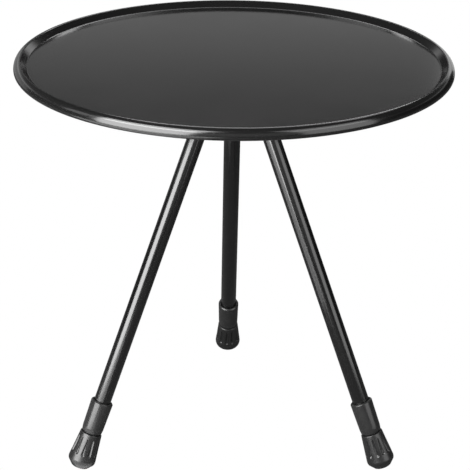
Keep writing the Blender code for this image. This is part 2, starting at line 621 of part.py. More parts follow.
def build_foot(parent):
    """The rubber foot with its socket and grooves, and the washer under the tube."""
    cone_top = FOOT_TOP - FOOT_LIP_EDGE
    cone_bottom = FOOT_BOTTOM + FOOT_EDGE_RADIUS
    lip = arc((FOOT_TOP_RADIUS - FOOT_LIP_EDGE, cone_top), (FOOT_LIP_EDGE, FOOT_LIP_EDGE), 90, 0, 2)
    edge = arc((SOLE_RADIUS, cone_bottom), (FOOT_EDGE_RADIUS, FOOT_EDGE_RADIUS),
               0, math.degrees(SPLAY) - 90, FOOT_EDGE_STEPS)
    profile = [(0, SOCKET_BOTTOM), (INNER_TUBE_FIT, SOCKET_BOTTOM), (INNER_TUBE_FIT, FOOT_TOP)]
    profile += lip + edge + [(SOLE_RADIUS, FOOT_BOTTOM), (0, FOOT_BOTTOM)]
    foot = turned("rubber_foot", profile, FOOT_STEPS, FOOT_RUBBER, parent)

    ends = []
    for share, radius in ((GROOVE_TOP_SHARE, GROOVE_TOP_RADIUS),
                          (GROOVE_END_SHARE, GROOVE_END_RADIUS)):
        height = FOOT_TOP - share * FOOT_LENGTH
        down = (cone_top - height) / (cone_top - cone_bottom)
        surface = FOOT_TOP_RADIUS + down * (FOOT_RADIUS - FOOT_TOP_RADIUS)
        ends.append(Vector((surface - GROOVE_DEPTH + radius, 0, height)))
    run = ends[1] - ends[0]
    lean = math.atan2(run.x, -run.z)
    profile = arc((0, 0), (GROOVE_TOP_RADIUS, GROOVE_TOP_RADIUS), 90, 0, 1)
    profile += arc((0, -run.length), (GROOVE_END_RADIUS, GROOVE_END_RADIUS), 0, -90, 2)
    tool = turned("groove", profile, GROOVE_STEPS, None)
    along = Matrix.Translation(ends[0]) @ Matrix.Rotation(-lean, 4, "Y")
    places = []
    for step in range(GROOVE_COUNT):
        places.append(Matrix.Rotation(math.tau * step / GROOVE_COUNT, 4, "Z") @ along)
    grooves = join_copies("foot_grooves", tool, places, None, cutters)
    grooves.parent = parent
    combine(foot, grooves, "DIFFERENCE")

    washer_bottom = FOOT_WASHER_TOP - FOOT_WASHER_THICKNESS
    profile = [(0, FOOT_WASHER_TOP), (INNER_TUBE_RADIUS, FOOT_WASHER_TOP),
               (INNER_TUBE_RADIUS, washer_bottom), (0, washer_bottom)]
    washer = turned("foot_washer", profile, TUBE_STEPS, ZINC, parent)
    return foot, washer


def build_legs():
    """One leg's pieces, made once and used again under each leg's pivot."""
    pivots = []
    for leg, azimuth in LEGS:
        pivot = add_object("pivot_" + leg, None)
        turn = math.radians(azimuth)
        pivot.location = (PIVOT_RADIUS * math.cos(turn), PIVOT_RADIUS * math.sin(turn), PIVOT_HEIGHT)
        pivot.rotation_euler = (0, -SPLAY, turn)
        pivots.append(pivot)
    first = pivots[0]
    rivet_hole = build_rivet_hole(first)
    pieces = [build_knuckle(first, rivet_hole), build_rivet(first)]
    pieces += build_tubes(first, rivet_hole)
    pieces += build_twist_lock(first)
    pieces += build_foot(first)
    for piece in pieces:
        kind = piece.name
        piece.name = kind + "_" + LEGS[0][0]
        for (leg, _), pivot in zip(LEGS[1:], pivots[1:]):
            copy_of(piece, kind + "_" + leg, pivot)


build_tray()
build_mounting()
build_hub()
build_clamp()
build_hinge_bolts()
build_legs()
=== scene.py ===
"""Looks of the folding camping table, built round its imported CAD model. Metres, +Z up."""

import json
import math

import bmesh
import bpy
from mathutils import Matrix, Vector


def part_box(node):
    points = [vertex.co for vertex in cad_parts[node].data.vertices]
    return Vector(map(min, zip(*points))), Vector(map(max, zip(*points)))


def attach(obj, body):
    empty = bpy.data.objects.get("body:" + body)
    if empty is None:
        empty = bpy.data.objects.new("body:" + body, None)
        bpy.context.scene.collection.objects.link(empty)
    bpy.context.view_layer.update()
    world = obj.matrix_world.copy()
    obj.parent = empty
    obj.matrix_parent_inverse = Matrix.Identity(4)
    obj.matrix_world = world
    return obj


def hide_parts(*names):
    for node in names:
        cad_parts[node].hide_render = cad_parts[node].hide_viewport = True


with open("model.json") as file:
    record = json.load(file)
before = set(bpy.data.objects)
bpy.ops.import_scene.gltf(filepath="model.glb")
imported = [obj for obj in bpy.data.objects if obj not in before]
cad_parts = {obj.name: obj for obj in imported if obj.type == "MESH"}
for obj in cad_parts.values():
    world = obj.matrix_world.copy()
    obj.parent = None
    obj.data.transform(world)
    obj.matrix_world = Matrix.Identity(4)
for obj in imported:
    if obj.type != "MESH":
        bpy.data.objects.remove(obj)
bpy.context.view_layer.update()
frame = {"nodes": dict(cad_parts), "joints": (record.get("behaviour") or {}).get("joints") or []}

# Camera: the photographer stood a little above the table and looked down on the tray.
# Its place was worked out from the tray's outline, the three legs and the feet.
camera_focal_length = 120.78
camera_sensor = 36.0
camera_distance = 1.5073
camera_elevation = math.radians(23.446)
camera_turn = math.radians(-1.369)
camera_roll = math.radians(0.713)
camera_aim = Vector((0.0027, 0.0, 0.2073))

camera = bpy.data.objects.new("camera", bpy.data.cameras.new("camera"))
bpy.context.scene.collection.objects.link(camera)
bpy.context.scene.camera = camera
camera.data.lens = camera_focal_length
camera.data.sensor_width = camera_sensor
camera_back = Vector((0, -math.cos(camera_elevation), math.sin(camera_elevation)))
camera.matrix_world = (Matrix.Rotation(camera_turn, 4, "Z")
                       @ Matrix.Translation(camera_aim + camera_back * camera_distance)
                       @ Matrix.Rotation(math.pi / 2 - camera_elevation, 4, "X")
                       @ Matrix.Rotation(camera_roll, 4, "Z"))
bpy.context.scene.view_settings.view_transform = "Standard"


# Studio floor: pure white for the camera. Everything else sees a dark cloth, with a sheet of
# pale card lying on it in front on the left, so that the legs shine on one side.
def hex_colour(code):
    """The linear RGBA colour of an sRGB code such as #3c3c3c."""
    channels = []
    for start in (1, 3, 5):
        value = int(code[start:start + 2], 16) / 255
        if value <= 0.04045:
            channels.append(value / 12.92)
        else:
            channels.append(((value + 0.055) / 1.055) ** 2.4)
    return (*channels, 1.0)


def add_node(tree, kind, inputs=None, **settings):
    """One node with its settings, and with a value or a link for each of its inputs."""
    node = tree.nodes.new(kind)
    for name, value in settings.items():
        setattr(node, name, value)
    for socket, value in (inputs or {}).items():
        if isinstance(value, bpy.types.NodeSocket):
            tree.links.new(value, node.inputs[socket])
        else:
            node.inputs[socket].default_value = value
    return node


def empty_material(name):
    """A material with an empty node tree."""
    material = bpy.data.materials.new(name)
    material.use_nodes = True
    material.node_tree.nodes.clear()
    return material


def studio_sheet(name, low, high, height, colour):
    """A flat rectangle that the camera sees as pure white, and everything else as lit grey."""
    material = empty_material(name)
    tree = material.node_tree
    ray = add_node(tree, "ShaderNodeLightPath")
    lit = add_node(tree, "ShaderNodeBsdfDiffuse", {"Color": hex_colour(colour)})
    glow = add_node(tree, "ShaderNodeEmission", {"Strength": 1.0})
    shade = add_node(tree, "ShaderNodeMixShader", {0: ray.outputs["Is Camera Ray"],
                                                   1: lit.outputs[0], 2: glow.outputs[0]})
    add_node(tree, "ShaderNodeOutputMaterial", {"Surface": shade.outputs[0]})
    mesh = bpy.data.meshes.new(name)
    mesh.from_pydata([(low[0], low[1], height), (high[0], low[1], height),
                      (high[0], high[1], height), (low[0], high[1], height)],
                     [], [(0, 1, 2, 3)])
    mesh.materials.append(material)
    sheet = bpy.data.objects.new(name, mesh)
    bpy.context.scene.collection.objects.link(sheet)


floor_reach = 20.0
cloth_colour = "#595959"
card_colour = "#e7e7e7"
card_low = (-1.30, -1.30)
card_high = (-0.12, -0.09)
card_lift = 0.0002

studio_sheet("dark_cloth_floor", (-floor_reach, -floor_reach), (floor_reach, floor_reach), 0.0,
             cloth_colour)
studio_sheet("pale_card", card_low, card_high, card_lift, card_colour)


# Backdrop and lamps: white for the camera. Gloss sees a dark room with a grey backdrop that
# fades upwards behind the table, big soft boxes on the left and weaker ones on the right.
# Each level is the height of a direction, as the Z of its unit vector, and a brightness
backdrop_levels = ((0.20, 0.02), (0.235, 0.68), (0.262, 0.66), (0.295, 0.22), (0.34, 0.08),
                   (0.60, 0.03))
backdrop_edge = 0.10
backdrop_full = 0.60
front_share = 0.30
room_fill = 0.12
lamp_aim = Vector((0, 0, 0.25))

world = bpy.data.worlds.new("studio")
bpy.context.scene.world = world
world.use_nodes = True
tree = world.node_tree
tree.nodes.clear()
gaze = add_node(tree, "ShaderNodeTexCoord")
direction = add_node(tree, "ShaderNodeSeparateXYZ", {0: gaze.outputs["Generated"]})
level = add_node(tree, "ShaderNodeValToRGB", {"Fac": direction.outputs["Z"]})
stops = level.color_ramp.elements
for number, (height, grey) in enumerate(backdrop_levels):
    stop = stops[number] if number < 2 else stops.new(height)
    stop.position = height
    stop.color = (grey, grey, grey, 1)
share = add_node(tree, "ShaderNodeMapRange",
                 {"Value": direction.outputs["Y"], "From Min": backdrop_edge,
                  "From Max": backdrop_full, "To Min": front_share, "To Max": 1.0},
                 interpolation_type="SMOOTHSTEP")
backdrop = add_node(tree, "ShaderNodeBackground", {"Color": level.outputs["Color"],
                                                   "Strength": share.outputs[0]})
fill = add_node(tree, "ShaderNodeBackground", {"Color": (1, 1, 1, 1), "Strength": room_fill})
white = add_node(tree, "ShaderNodeBackground", {"Color": (1, 1, 1, 1), "Strength": 1.0})
ray = add_node(tree, "ShaderNodeLightPath")
room = add_node(tree, "ShaderNodeMixShader", {0: ray.outputs["Is Glossy Ray"],
                                              1: fill.outputs[0], 2: backdrop.outputs[0]})
sky = add_node(tree, "ShaderNodeMixShader", {0: ray.outputs["Is Camera Ray"],
                                             1: room.outputs[0], 2: white.outputs[0]})
add_node(tree, "ShaderNodeOutputWorld", {"Surface": sky.outputs[0]})


def soft_lamp(name, azimuth, elevation, distance, size, radiance):
    """A flat lamp of a width and a height, seen from the table at an azimuth from the front."""
    side = math.radians(azimuth)
    up = math.radians(elevation)
    data = bpy.data.lights.new(name, "AREA")
    data.shape = "RECTANGLE"
    data.size, data.size_y = size
    data.energy = radiance * math.pi * size[0] * size[1]
    lamp = bpy.data.objects.new(name, data)
    bpy.context.scene.collection.objects.link(lamp)
    away = Vector((math.sin(side) * math.cos(up), -math.cos(side) * math.cos(up), math.sin(up)))
    lamp.location = lamp_aim + away * distance
    lamp.rotation_euler = away.to_track_quat("Z", "Y").to_euler()
    lamp.visible_camera = False


soft_lamp("left_soft_box", -45, 15, 1.7, (1.50, 1.66), 12.0)
soft_lamp("left_high_box", -46, 45, 1.7, (1.40, 0.72), 11.0)
soft_lamp("left_side_box", -84, 26, 1.7, (0.42, 0.60), 1.6)
soft_lamp("front_card", 5, 15, 1.7, (1.40, 1.00), 0.4)
soft_lamp("right_soft_box", 50, 15, 1.7, (1.18, 1.66), 2.8)
soft_lamp("right_high_box", 50, 43, 1.7, (1.18, 0.62), 2.6)
soft_lamp("left_back_card", -142, 8, 1.7, (1.20, 0.90), 0.4)
soft_lamp("right_back_card", 155, 8, 1.7, (0.52, 0.90), 0.9)
soft_lamp("back_strip", 172, 39, 1.7, (1.00, 0.20), 5.5)
soft_lamp("top_lamp", 168, 55, 1.8, (1.20, 0.50), 2.5)


# Tray: one round sheet of steel, pressed into a flat floor with a low raised edge whose
# rim is rolled outwards and under, then powder-coated near-black all over.
def turning_tree():
    """Geometry nodes that turn a profile, drawn as (radius, 0, height), about the Z axis."""
    tree = bpy.data.node_groups.new("turned_on_a_lathe", "GeometryNodeTree")
    face = tree.interface
    face.new_socket("Profile", in_out="INPUT", socket_type="NodeSocketGeometry")
    face.new_socket("Steps", in_out="INPUT", socket_type="NodeSocketInt")
    face.new_socket("Axis Radius", in_out="INPUT", socket_type="NodeSocketFloat")
    face.new_socket("Merge Distance", in_out="INPUT", socket_type="NodeSocketFloat")
    face.new_socket("Material", in_out="INPUT", socket_type="NodeSocketMaterial")
    face.new_socket("Geometry", in_out="OUTPUT", socket_type="NodeSocketGeometry")
    given = add_node(tree, "NodeGroupInput").outputs
    inwards = add_node(tree, "ShaderNodeMath", {0: given["Axis Radius"], 1: -1.0},
                       operation="MULTIPLY")
    shift = add_node(tree, "ShaderNodeCombineXYZ", {"X": inwards.outputs[0]})
    laid = add_node(tree, "GeometryNodeTransform",
                    {"Geometry": given["Profile"], "Translation": shift.outputs[0],
                     "Rotation": (math.pi / 2, 0, 0)})
    line = add_node(tree, "GeometryNodeMeshToCurve", {"Mesh": laid.outputs[0]})
    ring = add_node(tree, "GeometryNodeCurvePrimitiveCircle",
                    {"Resolution": given["Steps"], "Radius": given["Axis Radius"]})
    swept = add_node(tree, "GeometryNodeCurveToMesh",
                     {"Curve": ring.outputs["Curve"], "Profile Curve": line.outputs[0]})
    merged = add_node(tree, "GeometryNodeMergeByDistance",
                      {"Geometry": swept.outputs[0], "Distance": given["Merge Distance"]})
    real = add_node(tree, "GeometryNodeRealizeInstances", {0: merged.outputs[0]})
    painted = add_node(tree, "GeometryNodeSetMaterial",
                       {"Geometry": real.outputs[0], "Material": given["Material"]})
    add_node(tree, "NodeGroupOutput", {0: painted.outputs[0]})
    return tree


def plain_mesh(piece):
    """The piece's evaluated mesh, welded, facing outwards and shaded smooth but for its edges."""
    bpy.context.view_layer.update()
    evaluated = piece.evaluated_get(bpy.context.evaluated_depsgraph_get())
    mesh = bpy.data.meshes.new_from_object(evaluated)
    name = piece.name
    bpy.data.objects.remove(piece)
    mesh.name = name
    shape = bmesh.new()
    shape.from_mesh(mesh)
    bmesh.ops.remove_doubles(shape, verts=shape.verts, dist=weld_distance)
    bmesh.ops.recalc_face_normals(shape, faces=shape.faces)
    shape.to_mesh(mesh)
    shape.free()
    mesh.shade_smooth()
    mesh.set_sharp_from_angle(angle=edge_angle)
    solid = bpy.data.objects.new(name, mesh)
    bpy.context.scene.collection.objects.link(solid)
    return solid


def run_tree(piece, tree, inputs):
    """Puts a geometry tree on a piece, with its inputs set by name, and makes it plain."""
    nodes = piece.modifiers.new(tree.name, "NODES")
    nodes.node_group = tree
    sockets = {item.name: item.identifier for item in tree.interface.items_tree
               if item.in_out == "INPUT"}
    for name, value in inputs.items():
        nodes[sockets[name]] = value
    return plain_mesh(piece)


def line_object(name, points, closed):
    """A chain of edges through (radius, height) points, in the XZ plane."""
    edges = [(point, point + 1) for point in range(len(points) - 1)]
    if closed:
        edges.append((len(points) - 1, 0))
    mesh = bpy.data.meshes.new(name)
    mesh.from_pydata([(radius, 0, height) for radius, height in points], edges, [])
    piece = bpy.data.objects.new(name, mesh)
    bpy.context.scene.collection.objects.link(piece)
    return piece


def turned(name, points, material, closed=False, steps=96):
    """A piece made by turning a profile about the Z axis."""
    return run_tree(line_object(name, points, closed), lathe,
                    {"Steps": steps, "Axis Radius": lathe_axis_radius,
                     "Merge Distance": weld_distance, "Material": material})


def arc(centre, radii, start, end, steps):
    """Points on an elliptical arc, with its angles in degrees and both ends included."""
    points = []
    for step in range(steps + 1):
        angle = math.radians(start + (end - start) * step / steps)
        points.append((centre[0] + radii[0] * math.cos(angle),
                       centre[1] + radii[1] * math.sin(angle)))
    return points


def surface(name, colour, roughness, grain, patches, shader_inputs, shift=None):
    """A Principled material with a grain, given by its size and depth, and with patches, given
    by their size and strength, in which it is a little darker and shinier or paler and duller."""
    grain_size, grain_depth = grain
    patch_size, strength = patches
    material = empty_material(name)
    tree = material.node_tree
    place = add_node(tree, "ShaderNodeTexCoord").outputs["Object"]
    if shift is not None:
        place = add_node(tree, "ShaderNodeMapping", {"Vector": place, **shift},
                         vector_type="TEXTURE").outputs[0]
    skin = add_node(tree, "ShaderNodeTexNoise",
                    {"Vector": place, "Scale": 1 / grain_size, "Detail": noise_detail})
    bump = add_node(tree, "ShaderNodeBump", {"Height": skin.outputs["Fac"],
                                             "Distance": grain_depth, "Strength": 1.0})
    cloud = add_node(tree, "ShaderNodeTexNoise",
                     {"Vector": place, "Scale": 1 / patch_size, "Detail": noise_detail})
    patch = add_node(tree, "ShaderNodeMapRange",
                     {"Value": cloud.outputs["Fac"],
                      "From Min": cloud_low, "From Max": cloud_high,
                      "To Min": 1 - strength, "To Max": 1 + strength})
    dullness = add_node(tree, "ShaderNodeMath", {0: patch.outputs[0], 1: roughness},
                        operation="MULTIPLY")
    tint = add_node(tree, "ShaderNodeVectorMath",
                    {0: hex_colour(colour)[:3], "Scale": patch.outputs[0]}, operation="SCALE")
    shader = add_node(tree, "ShaderNodeBsdfPrincipled",
                      {"Base Color": tint.outputs[0], "Roughness": dullness.outputs[0],
                       "Normal": bump.outputs[0], **shader_inputs})
    add_node(tree, "ShaderNodeOutputMaterial", {"Surface": shader.outputs[0]})
    return material


weld_distance = 0.000002
edge_angle = math.radians(38)
lathe_axis_radius = 0.0005
noise_detail = 2.0
cloud_low = 0.3
cloud_high = 0.7
coat_peel = 0.0011
coat_peel_depth = 0.000003
coat_patch = 0.045

# Powder coat is sprayed as dust and baked: it flows out to a satin black with a faint orange
# peel, and its thickness differs a little from place to place.
powder_coat = surface("powder_coated_steel", "#101010", 0.15, (coat_peel, coat_peel_depth),
                      (coat_patch, 0.05), {"IOR": 1.5})
lathe = turning_tree()

tray_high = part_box("tray_top")[1]
tray_radius = tray_high.x
tray_height = tray_high.z
tray_sheet = 0.0008
tray_depth = 0.0058
tray_cove_width = 0.0069
tray_cove_slope = math.radians(47)
tray_crest_radius = 0.0014
tray_crest_inset = 0.0058
tray_waist_drop = 0.0069
tray_rim_height = 0.0107
tray_curl_width = 0.0092
# A narrow flat ring at the rim of the floor, so that the floor is shaded flat up to its cove
tray_flat_edge = 0.0002

floor_top = tray_height - tray_depth
cove_bends = ((tray_cove_width - tray_depth / math.tan(tray_cove_slope))
              / math.tan(tray_cove_slope / 2))
cove_radius = cove_bends - tray_crest_radius
crest_middle = tray_radius - tray_crest_inset
cove_start = crest_middle - tray_cove_width
waist = tray_height - tray_waist_drop
curl_radius = tray_curl_width / 2
tray_profile = [(0, floor_top), (cove_start - tray_flat_edge, floor_top)]
tray_profile += arc((cove_start, floor_top + cove_radius), (cove_radius, cove_radius),
                    -90, math.degrees(tray_cove_slope) - 90, 12)
tray_profile += arc((crest_middle, tray_height - tray_crest_radius),
                    (tray_crest_radius, tray_crest_radius),
                    90 + math.degrees(tray_cove_slope), 90, 8)
tray_profile += arc((crest_middle, waist), (tray_crest_inset, tray_waist_drop), 90, 0, 16)[1:]
tray_profile += arc((tray_radius - curl_radius, waist),
                    (curl_radius, tray_rim_height - tray_waist_drop), 0, -180, 20)[1:]
tray = turned("tray", tray_profile, powder_coat, steps=256)
wall = tray.modifiers.new("sheet", "SOLIDIFY")
wall.thickness = tray_sheet
wall.offset = -1
wall.use_even_offset = True
tray = plain_mesh(tray)
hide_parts("tray_top")
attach(tray, "tray_body")


# Mounting plate: a black-coated steel disc that spreads the tripod's load over the thin tray.
# It is laser cut, with a hole for each stud and one for the threaded insert.
def round_outline(centre, radius, steps):
    """Points round a circle."""
    return [(centre[0] + radius * math.cos(math.tau * step / steps),
             centre[1] + radius * math.sin(math.tau * step / steps)) for step in range(steps)]


def cut_plate(name, outlines, low, high, edge, material):
    """A plate with eased edges between two heights, from an outline and its holes."""
    curve = bpy.data.curves.new(name, "CURVE")
    curve.dimensions = "2D"
    curve.fill_mode = "BOTH"
    curve.bevel_depth = edge
    curve.bevel_resolution = 2
    curve.offset = -edge
    curve.extrude = (high - low) / 2 - edge
    for outline in outlines:
        line = curve.splines.new("POLY")
        line.points.add(len(outline) - 1)
        for point, (x, y) in zip(line.points, outline):
            point.co = (x, y, 0, 1)
        line.use_cyclic_u = True
    curve.materials.append(material)
    piece = bpy.data.objects.new(name, curve)
    bpy.context.scene.collection.objects.link(piece)
    plate = plain_mesh(piece)
    plate.data.transform(Matrix.Translation((0, 0, (low + high) / 2)))
    return plate


def between(node):
    """The lowest and the highest height of a CAD node."""
    low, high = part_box(node)
    return low.z, high.z


# Electrophoretic paint is thin, so it dulls the steel's own mill texture without hiding it
plate_steel = surface("black_dip_coated_steel", "#161616", 0.45, (coat_peel, coat_peel_depth),
                      (coat_patch, 0.12), {"IOR": 1.5})
plate_low, plate_high = between("mounting_plate")
plate_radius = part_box("mounting_plate")[1].x
stud_inset = 0.012
stud_circle = plate_radius - stud_inset
stud_count = 4
hole_radius = 0.0028
insert_hole_radius = 0.0083
plate_edge = 0.0004

outlines = [round_outline((0, 0), plate_radius, 160),
            round_outline((0, 0), insert_hole_radius, 64)]
outlines += [round_outline(place, hole_radius, 32)
             for place in round_outline((0, 0), stud_circle, stud_count)]
plate = cut_plate("tripod_plate", outlines, plate_low, plate_high, plate_edge, plate_steel)
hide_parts("mounting_plate")
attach(plate, "tray_body")


# Welded studs and nuts: four M5 studs stand under the tray, and a hexagon nut on each
# holds the plate. Zinc plating leaves them pale grey, a little blue and cloudy.
def ring_tree():
    """Geometry nodes that set copies of a piece round the Z axis, facing outwards."""
    tree = bpy.data.node_groups.new("set_in_a_ring", "GeometryNodeTree")
    face = tree.interface
    face.new_socket("Piece", in_out="INPUT", socket_type="NodeSocketGeometry")
    face.new_socket("Count", in_out="INPUT", socket_type="NodeSocketInt")
    face.new_socket("Ring Radius", in_out="INPUT", socket_type="NodeSocketFloat")
    face.new_socket("Merge Distance", in_out="INPUT", socket_type="NodeSocketFloat")
    face.new_socket("Material", in_out="INPUT", socket_type="NodeSocketMaterial")
    face.new_socket("Geometry", in_out="OUTPUT", socket_type="NodeSocketGeometry")
    given = add_node(tree, "NodeGroupInput").outputs
    places = add_node(tree, "GeometryNodeMeshLine", {"Count": given["Count"], "Offset": (0, 0, 0)})
    number = add_node(tree, "GeometryNodeInputIndex")
    step = add_node(tree, "ShaderNodeMath", {0: math.tau, 1: given["Count"]}, operation="DIVIDE")
    angle = add_node(tree, "ShaderNodeMath", {0: number.outputs[0], 1: step.outputs[0]},
                     operation="MULTIPLY")
    turn = add_node(tree, "ShaderNodeCombineXYZ", {"Z": angle.outputs[0]})
    out = add_node(tree, "ShaderNodeCombineXYZ", {"X": given["Ring Radius"]})
    copies = add_node(tree, "GeometryNodeInstanceOnPoints",
                      {"Points": places.outputs[0], "Instance": given["Piece"],
                       "Rotation": turn.outputs[0]})
    spread = add_node(tree, "GeometryNodeTranslateInstances",
                      {"Instances": copies.outputs[0], "Translation": out.outputs[0],
                       "Local Space": True})
    real = add_node(tree, "GeometryNodeRealizeInstances", {0: spread.outputs[0]})
    merged = add_node(tree, "GeometryNodeMergeByDistance",
                      {"Geometry": real.outputs[0], "Distance": given["Merge Distance"]})
    painted = add_node(tree, "GeometryNodeSetMaterial",
                       {"Geometry": merged.outputs[0], "Material": given["Material"]})
    add_node(tree, "NodeGroupOutput", {0: painted.outputs[0]})
    return tree


def in_a_ring(piece, count, radius, material):
    """Copies of a piece set evenly on a circle, as one mesh."""
    return run_tree(piece, ring, {"Count": count, "Ring Radius": radius,
                                  "Merge Distance": weld_distance, "Material": material})


def spun(name, rule, steps, material, closed=False):
    """A round piece whose profile, a list of (radius, height), changes with the angle."""
    points, faces = [], []
    for step in range(steps):
        angle = math.tau * step / steps
        profile = rule(angle)
        points += [(radius * math.cos(angle), radius * math.sin(angle), height)
                   for radius, height in profile]
        here = step * len(profile)
        there = (step + 1) % steps * len(profile)
        for place in range(len(profile) if closed else len(profile) - 1):
            beyond = (place + 1) % len(profile)
            faces.append((here + place, there + place, there + beyond, here + beyond))
    mesh = bpy.data.meshes.new(name)
    mesh.from_pydata(points, [], faces)
    mesh.materials.append(material)
    piece = bpy.data.objects.new(name, mesh)
    bpy.context.scene.collection.objects.link(piece)
    return plain_mesh(piece)


def thread(radius, pitch, low, high, end):
    """The rule of a threaded rod, whose ridge climbs by one pitch in each turn."""
    steps = round((high - low) / pitch * 8)

    def rule(angle):
        profile = [(0, low)]
        for step in range(steps + 1):
            height = low + (high - low) * step / steps
            flank = abs((height / pitch - angle / math.tau) % 1 - 0.5) * 2
            cone = radius - end + min(height - low, high - height)
            profile.append((min(radius - thread_depth_share * pitch * flank, cone), height))
        return profile + [(0, high)]

    return rule


def hexagon(flat_radius, angle):
    """How far a hexagon reaches at an angle, with a corner at 0."""
    return flat_radius / math.cos(angle % (math.pi / 3) - math.pi / 6)


def hexagon_nut(corner_radius, bore, low, high):
    """The rule of a hexagon nut with the round chamfers of its two faces."""
    flat = corner_radius * math.cos(math.pi / 6)
    ease = nut_bore_ease

    def rule(angle):
        reach = hexagon(flat, angle)
        drop = (reach - flat) * math.tan(nut_chamfer)
        return [(bore, low + ease), (bore + ease, low), (flat, low), (reach, low + drop),
                (reach, high - drop), (flat, high), (bore + ease, high), (bore, high - ease)]

    return rule


thread_depth_share = 0.61
nut_bore_ease = 0.0004
nut_chamfer = math.radians(30)
stud_radius = 0.0025
stud_pitch = 0.0008
stud_end = 0.0005
stud_bore = 0.0026
zinc_grain = 0.0006
zinc_depth = 0.000002
zinc_cloud = 0.004

# Zinc plating shows the forged steel through it: pale, clouded and only half bright. Its
# crystals are far finer, and drawn this coarse so that they show.
zinc = surface("zinc_plated_steel", "#c4c6c6", 0.33, (zinc_grain, zinc_depth),
               (zinc_cloud, 0.15), {"Metallic": 1.0})
ring = ring_tree()
stud_low, stud_high = between("weld_stud_1")
nut_low, nut_high = between("stud_nut_1")
nut_low_corner, nut_high_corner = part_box("stud_nut_1")
nut_corner_radius = (nut_high_corner.x - nut_low_corner.x) / 2
studs = in_a_ring(spun("welded_studs", thread(stud_radius, stud_pitch, stud_low, stud_high,
                                              stud_end), 24, zinc),
                  stud_count, stud_circle, zinc)
nuts = in_a_ring(spun("plate_nuts", hexagon_nut(nut_corner_radius, stud_bore, nut_low, nut_high),
                      48, zinc, closed=True),
                 stud_count, stud_circle, zinc)
for piece, node in ((studs, "weld_stud"), (nuts, "stud_nut")):
    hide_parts(*(f"{node}_{number}" for number in range(1, stud_count + 1)))
    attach(piece, "tray_body")


# Threaded insert: a turned steel nut with a flange, pressed into the plate from below. Its
# spigot drops into the hub and centres the tray, and the clamp screw runs up into it.
def rounded(points, edge, closed=False):
    """A profile with each corner eased by a short curve."""
    eased = []
    for number, point in enumerate(points):
        if not closed and number in (0, len(points) - 1):
            eased.append(point)
            continue
        corner = Vector(point)
        back = Vector(points[number - 1]) - corner
        onward = Vector(points[(number + 1) % len(points)]) - corner
        cut = min(edge, back.length * corner_share, onward.length * corner_share)
        start = corner + back.normalized() * cut
        end = corner + onward.normalized() * cut
        for share in (0, 1 / 3, 2 / 3, 1):
            eased.append(tuple(start * (1 - share) ** 2 + corner * 2 * share * (1 - share)
                               + end * share ** 2))
    return eased


corner_share = 0.45
insert_radius = 0.0080
insert_flange_radius = 0.0110
insert_flange_thickness = 0.0015
insert_bore = 0.0042
insert_edge = 0.0003
flange_seat = 0.0003
insert_low, insert_high = between("threaded_insert")
flange_top = plate_low - flange_seat
flange_bottom = flange_top - insert_flange_thickness
insert_profile = [(insert_bore, insert_high), (insert_radius, insert_high),
                  (insert_radius, flange_top), (insert_flange_radius, flange_top),
                  (insert_flange_radius, flange_bottom), (insert_radius, flange_bottom),
                  (insert_radius, insert_low), (insert_bore, insert_low)]
insert = turned("screw_insert", rounded(insert_profile, insert_edge, closed=True), zinc,
                closed=True)
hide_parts("threaded_insert")
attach(insert, "tray_body")


# Hub: one aluminium die casting with a flange, a boss and a fork for each leg, coated black.
# A casting has no sharp edge, so the CAD's shape is remeshed and softened.
def cast(name, node, voxel, rounds, material, place=None):
    """A softened copy of a CAD node, brought back from its place where one is given."""
    mesh = frame["nodes"][node].data.copy()
    if place is not None:
        mesh.transform(place.inverted())
    shape = bmesh.new()
    shape.from_mesh(mesh)
    bmesh.ops.remove_doubles(shape, verts=shape.verts, dist=weld_distance)
    shape.to_mesh(mesh)
    shape.free()
    mesh.materials.clear()
    mesh.materials.append(material)
    piece = bpy.data.objects.new(name, mesh)
    bpy.context.scene.collection.objects.link(piece)
    skin = piece.modifiers.new("skin", "REMESH")
    skin.mode = "VOXEL"
    skin.voxel_size = voxel
    soften = piece.modifiers.new("soften", "SMOOTH")
    soften.iterations = rounds
    return plain_mesh(piece)


casting_skin = 0.0014
casting_skin_depth = 0.00002
casting_patch = 0.009
hub_voxel = 0.00045
cast_rounds = 5

# A blasted casting under black paint keeps its pebbled skin, and shines only in broad patches
casting = surface("black_coated_die_casting", "#1b1b1b", 0.5, (casting_skin, casting_skin_depth),
                  (casting_patch, 0.14), {"IOR": 1.5})
hub = cast("tripod_hub", "hub", hub_voxel, cast_rounds, casting)
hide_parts("hub")
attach(hub, "hub_body")


# Clamp screw: an M8 screw of plated steel with a washer and a spring clip that keep it in
# the hub. It pulls the tray down on the hub.
screw_radius = 0.0040
screw_pitch = 0.00125
screw_end = 0.0008
washer_bore = 0.0043
washer_edge = 0.00015
clip_gap_angle = math.radians(40)
clip_edge = 0.0001

screw_low, screw_high = between("clamp_screw")
screw = spun("clamping_screw", thread(screw_radius, screw_pitch, screw_low, screw_high,
                                      screw_end), 36, zinc)
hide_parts("clamp_screw")
washer_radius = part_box("screw_washer")[1].x
washer = cut_plate("hub_washer", [round_outline((0, 0), washer_radius, 64),
                                  round_outline((0, 0), washer_bore, 48)],
                   *between("screw_washer"), washer_edge, zinc)
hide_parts("screw_washer")
clip_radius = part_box("screw_clip")[1].x
clip_outline = []
for radius, start, end in ((clip_radius, clip_gap_angle / 2, math.tau - clip_gap_angle / 2),
                           (washer_bore, math.tau - clip_gap_angle / 2, clip_gap_angle / 2)):
    for step in range(49):
        angle = start + (end - start) * step / 48
        clip_outline.append((radius * math.cos(angle), radius * math.sin(angle)))
clip = cut_plate("retaining_clip", [clip_outline], *between("screw_clip"), clip_edge, zinc)
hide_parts("screw_clip")
for piece in (screw, washer, clip):
    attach(piece, "clamp_body")


